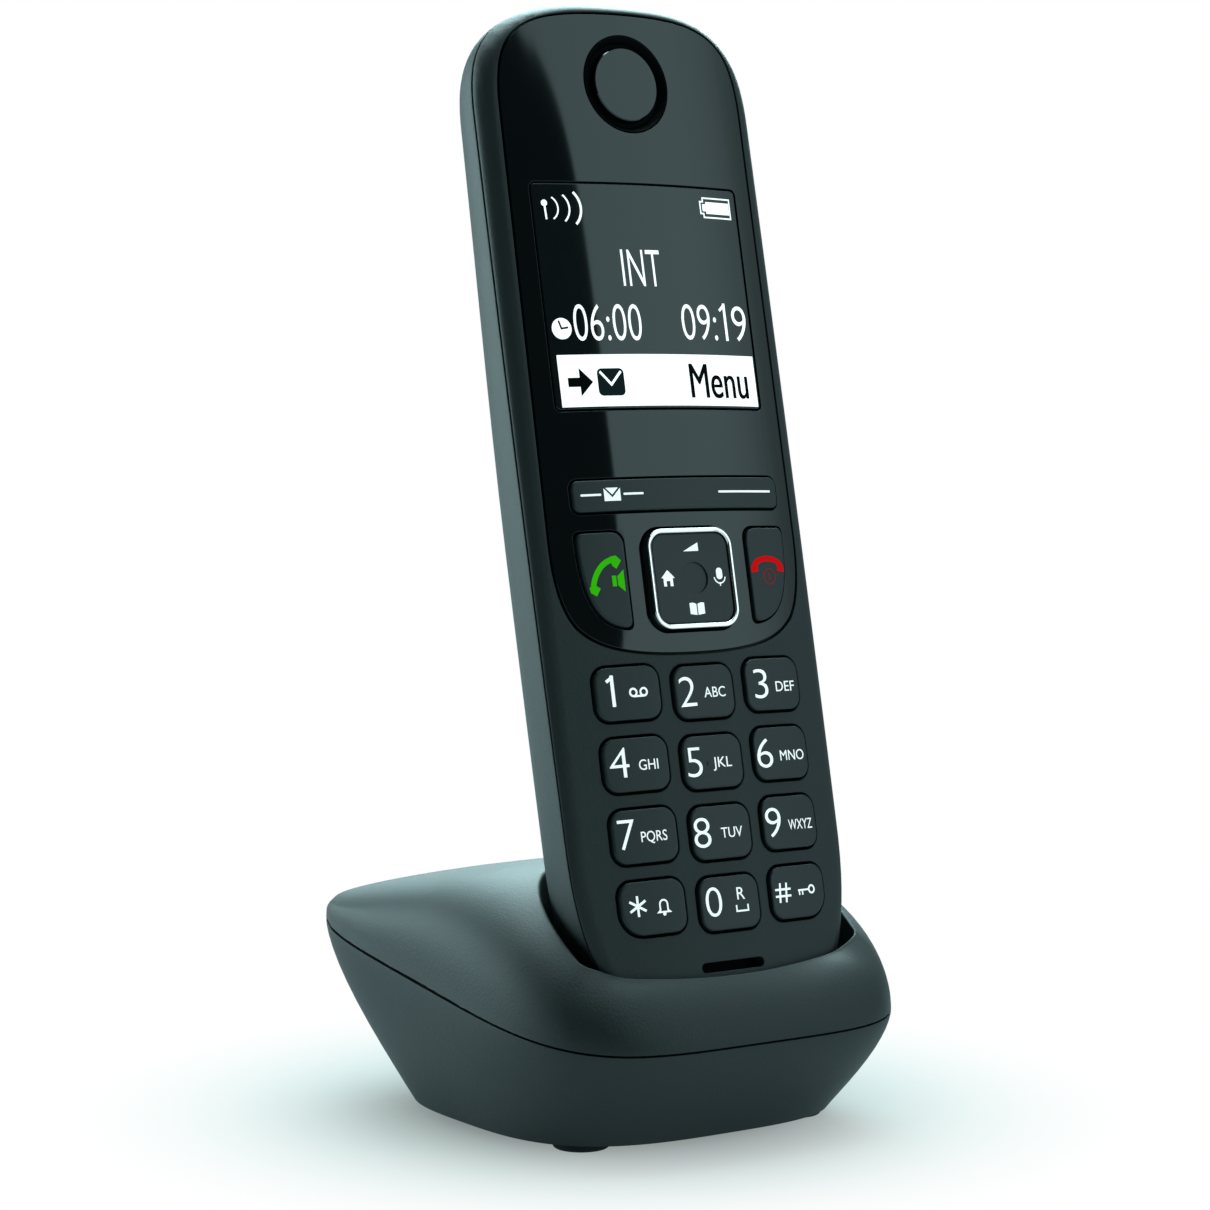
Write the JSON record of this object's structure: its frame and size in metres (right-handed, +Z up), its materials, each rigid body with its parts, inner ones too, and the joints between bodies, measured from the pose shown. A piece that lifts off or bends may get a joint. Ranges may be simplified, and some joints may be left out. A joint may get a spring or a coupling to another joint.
{
  "type": "cordless phone with charging base",
  "caption": "Cordless telephone handset with keypad and monochrome display, standing in a small tilted charging base.",
  "frame": {"origin": "centre of the base's outline on the table top it stands on", "axes": "+Z up, -Y the way the handset's face looks, +X to the right of someone facing it"},
  "size_m": [0.0638, 0.079, 0.1592],
  "materials": {
    "shell": "fine-grained matt anthracite ABS",
    "keycap": "satin anthracite key cap",
    "panel_gloss": "high-gloss black panel",
    "window": "clear hard-coated window over the display",
    "rubber": "soft matt rubber",
    "steel": "plain steel",
    "circuit_board": "green solder mask",
    "black_plastic": "moulded black plastic",
    "gold": "gold-plated contact",
    "battery_sleeve": "shrink sleeve",
    "chrome": "bright chrome ring",
    "key_print": "white printed legends",
    "talk_print": "green printed legend",
    "end_print": "red printed legend",
    "display_marks": "marks shown on the display"
  },
  "bodies": {
    "base": {"base_upper_shell": "shell", "base_lower_shell": "shell", "base_foot_front_left": "rubber", "base_foot_front_right": "rubber", "base_foot_rear_left": "rubber", "base_foot_rear_right": "rubber", "base_screw_left": "steel", "base_screw_right": "steel", "base_circuit_board": "circuit_board", "line_socket": "black_plastic", "power_socket": "black_plastic"},
    "charge_pin_left": {"charge_pin_left": "gold"},
    "charge_pin_right": {"charge_pin_right": "gold"},
    "paging_key": {"paging_key": "keycap"},
    "handset": {"handset_front_cover": "shell", "handset_rear_cover": "shell", "front_panel": "panel_gloss", "display_window": "window", "display_module": "black_plastic", "earpiece_disc": "panel_gloss", "earpiece_speaker": "black_plastic", "microphone": "black_plastic", "keypad_mat": "rubber", "handset_circuit_board": "circuit_board", "ringer": "black_plastic", "battery_left": "battery_sleeve", "battery_right": "battery_sleeve", "battery_contact_upper": "steel", "battery_contact_lower": "steel", "charge_contact_left": "gold", "charge_contact_right": "gold"},
    "battery_cover": {"battery_cover": "shell"},
    "key_1": {"key_1": "keycap"},
    "key_2": {"key_2": "keycap"},
    "key_3": {"key_3": "keycap"},
    "key_4": {"key_4": "keycap"},
    "key_5": {"key_5": "keycap"},
    "key_6": {"key_6": "keycap"},
    "key_7": {"key_7": "keycap"},
    "key_8": {"key_8": "keycap"},
    "key_9": {"key_9": "keycap"},
    "key_star": {"key_star": "keycap"},
    "key_0": {"key_0": "keycap"},
    "key_hash": {"key_hash": "keycap"},
    "talk_key": {"talk_key": "keycap"},
    "end_key": {"end_key": "keycap"},
    "display_key": {"display_key": "keycap"},
    "nav_pivot": {"nav_pivot": "black_plastic"},
    "nav_key": {"nav_key": "keycap", "nav_ring": "chrome"}
  },
  "joints": [
    {"name": "handset_lift", "type": "slide", "parent": "base", "child": "handset", "axis": [0, 0.2079, 0.9781], "range_m": [0, 0.055]},
    {"name": "charge_pin_left_press", "type": "slide", "parent": "base", "child": "charge_pin_left", "axis": [0, -0.2079, -0.9781], "range_m": [0, 0.001], "stiffness_N_per_m": 350},
    {"name": "charge_pin_right_press", "type": "slide", "parent": "base", "child": "charge_pin_right", "axis": [0, -0.2079, -0.9781], "range_m": [0, 0.001], "stiffness_N_per_m": 350},
    {"name": "paging_key_press", "type": "slide", "parent": "base", "child": "paging_key", "axis": [0, -0.8474, 0.531], "range_m": [0, 0.0008], "stiffness_N_per_m": 350},
    {"name": "battery_cover_off", "type": "slide", "parent": "handset", "child": "battery_cover", "axis": [0, 0.9781, -0.2079], "range_m": [0, 0.018]},
    {"name": "key_1_press", "type": "slide", "parent": "handset", "child": "key_1", "axis": [0, 0.9781, -0.2079], "range_m": [0, 0.0006], "stiffness_N_per_m": 350},
    {"name": "key_2_press", "type": "slide", "parent": "handset", "child": "key_2", "axis": [0, 0.9781, -0.2079], "range_m": [0, 0.0006], "stiffness_N_per_m": 350},
    {"name": "key_3_press", "type": "slide", "parent": "handset", "child": "key_3", "axis": [0, 0.9781, -0.2079], "range_m": [0, 0.0006], "stiffness_N_per_m": 350},
    {"name": "key_4_press", "type": "slide", "parent": "handset", "child": "key_4", "axis": [0, 0.9781, -0.2079], "range_m": [0, 0.0006], "stiffness_N_per_m": 350},
    {"name": "key_5_press", "type": "slide", "parent": "handset", "child": "key_5", "axis": [0, 0.9781, -0.2079], "range_m": [0, 0.0006], "stiffness_N_per_m": 350},
    {"name": "key_6_press", "type": "slide", "parent": "handset", "child": "key_6", "axis": [0, 0.9781, -0.2079], "range_m": [0, 0.0006], "stiffness_N_per_m": 350},
    {"name": "key_7_press", "type": "slide", "parent": "handset", "child": "key_7", "axis": [0, 0.9781, -0.2079], "range_m": [0, 0.0006], "stiffness_N_per_m": 350},
    {"name": "key_8_press", "type": "slide", "parent": "handset", "child": "key_8", "axis": [0, 0.9781, -0.2079], "range_m": [0, 0.0006], "stiffness_N_per_m": 350},
    {"name": "key_9_press", "type": "slide", "parent": "handset", "child": "key_9", "axis": [0, 0.9781, -0.2079], "range_m": [0, 0.0006], "stiffness_N_per_m": 350},
    {"name": "key_star_press", "type": "slide", "parent": "handset", "child": "key_star", "axis": [0, 0.9781, -0.2079], "range_m": [0, 0.0006], "stiffness_N_per_m": 350},
    {"name": "key_0_press", "type": "slide", "parent": "handset", "child": "key_0", "axis": [0, 0.9781, -0.2079], "range_m": [0, 0.0006], "stiffness_N_per_m": 350},
    {"name": "key_hash_press", "type": "slide", "parent": "handset", "child": "key_hash", "axis": [0, 0.9781, -0.2079], "range_m": [0, 0.0006], "stiffness_N_per_m": 350},
    {"name": "talk_key_press", "type": "slide", "parent": "handset", "child": "talk_key", "axis": [0, 0.9781, -0.2079], "range_m": [0, 0.0006], "stiffness_N_per_m": 350},
    {"name": "end_key_press", "type": "slide", "parent": "handset", "child": "end_key", "axis": [0, 0.9781, -0.2079], "range_m": [0, 0.0006], "stiffness_N_per_m": 350},
    {"name": "display_key_rock", "type": "hinge", "parent": "handset", "child": "display_key", "pos_m": [0, -0.01601, 0.0894], "axis": [0, 0.2079, 0.9781], "range_deg": [-1.2, 1.2], "stiffness_Nm_per_rad": 0.02},
    {"name": "nav_up_down", "type": "hinge", "parent": "handset", "child": "nav_pivot", "pos_m": [0, -0.01761, 0.07732], "axis": [1, 0, 0], "range_deg": [-2, 2], "stiffness_Nm_per_rad": 0.02},
    {"name": "nav_left_right", "type": "hinge", "parent": "nav_pivot", "child": "nav_key", "pos_m": [0, -0.01761, 0.07732], "axis": [0, 0.2079, 0.9781], "range_deg": [-2, 2], "stiffness_Nm_per_rad": 0.02}
  ]
}
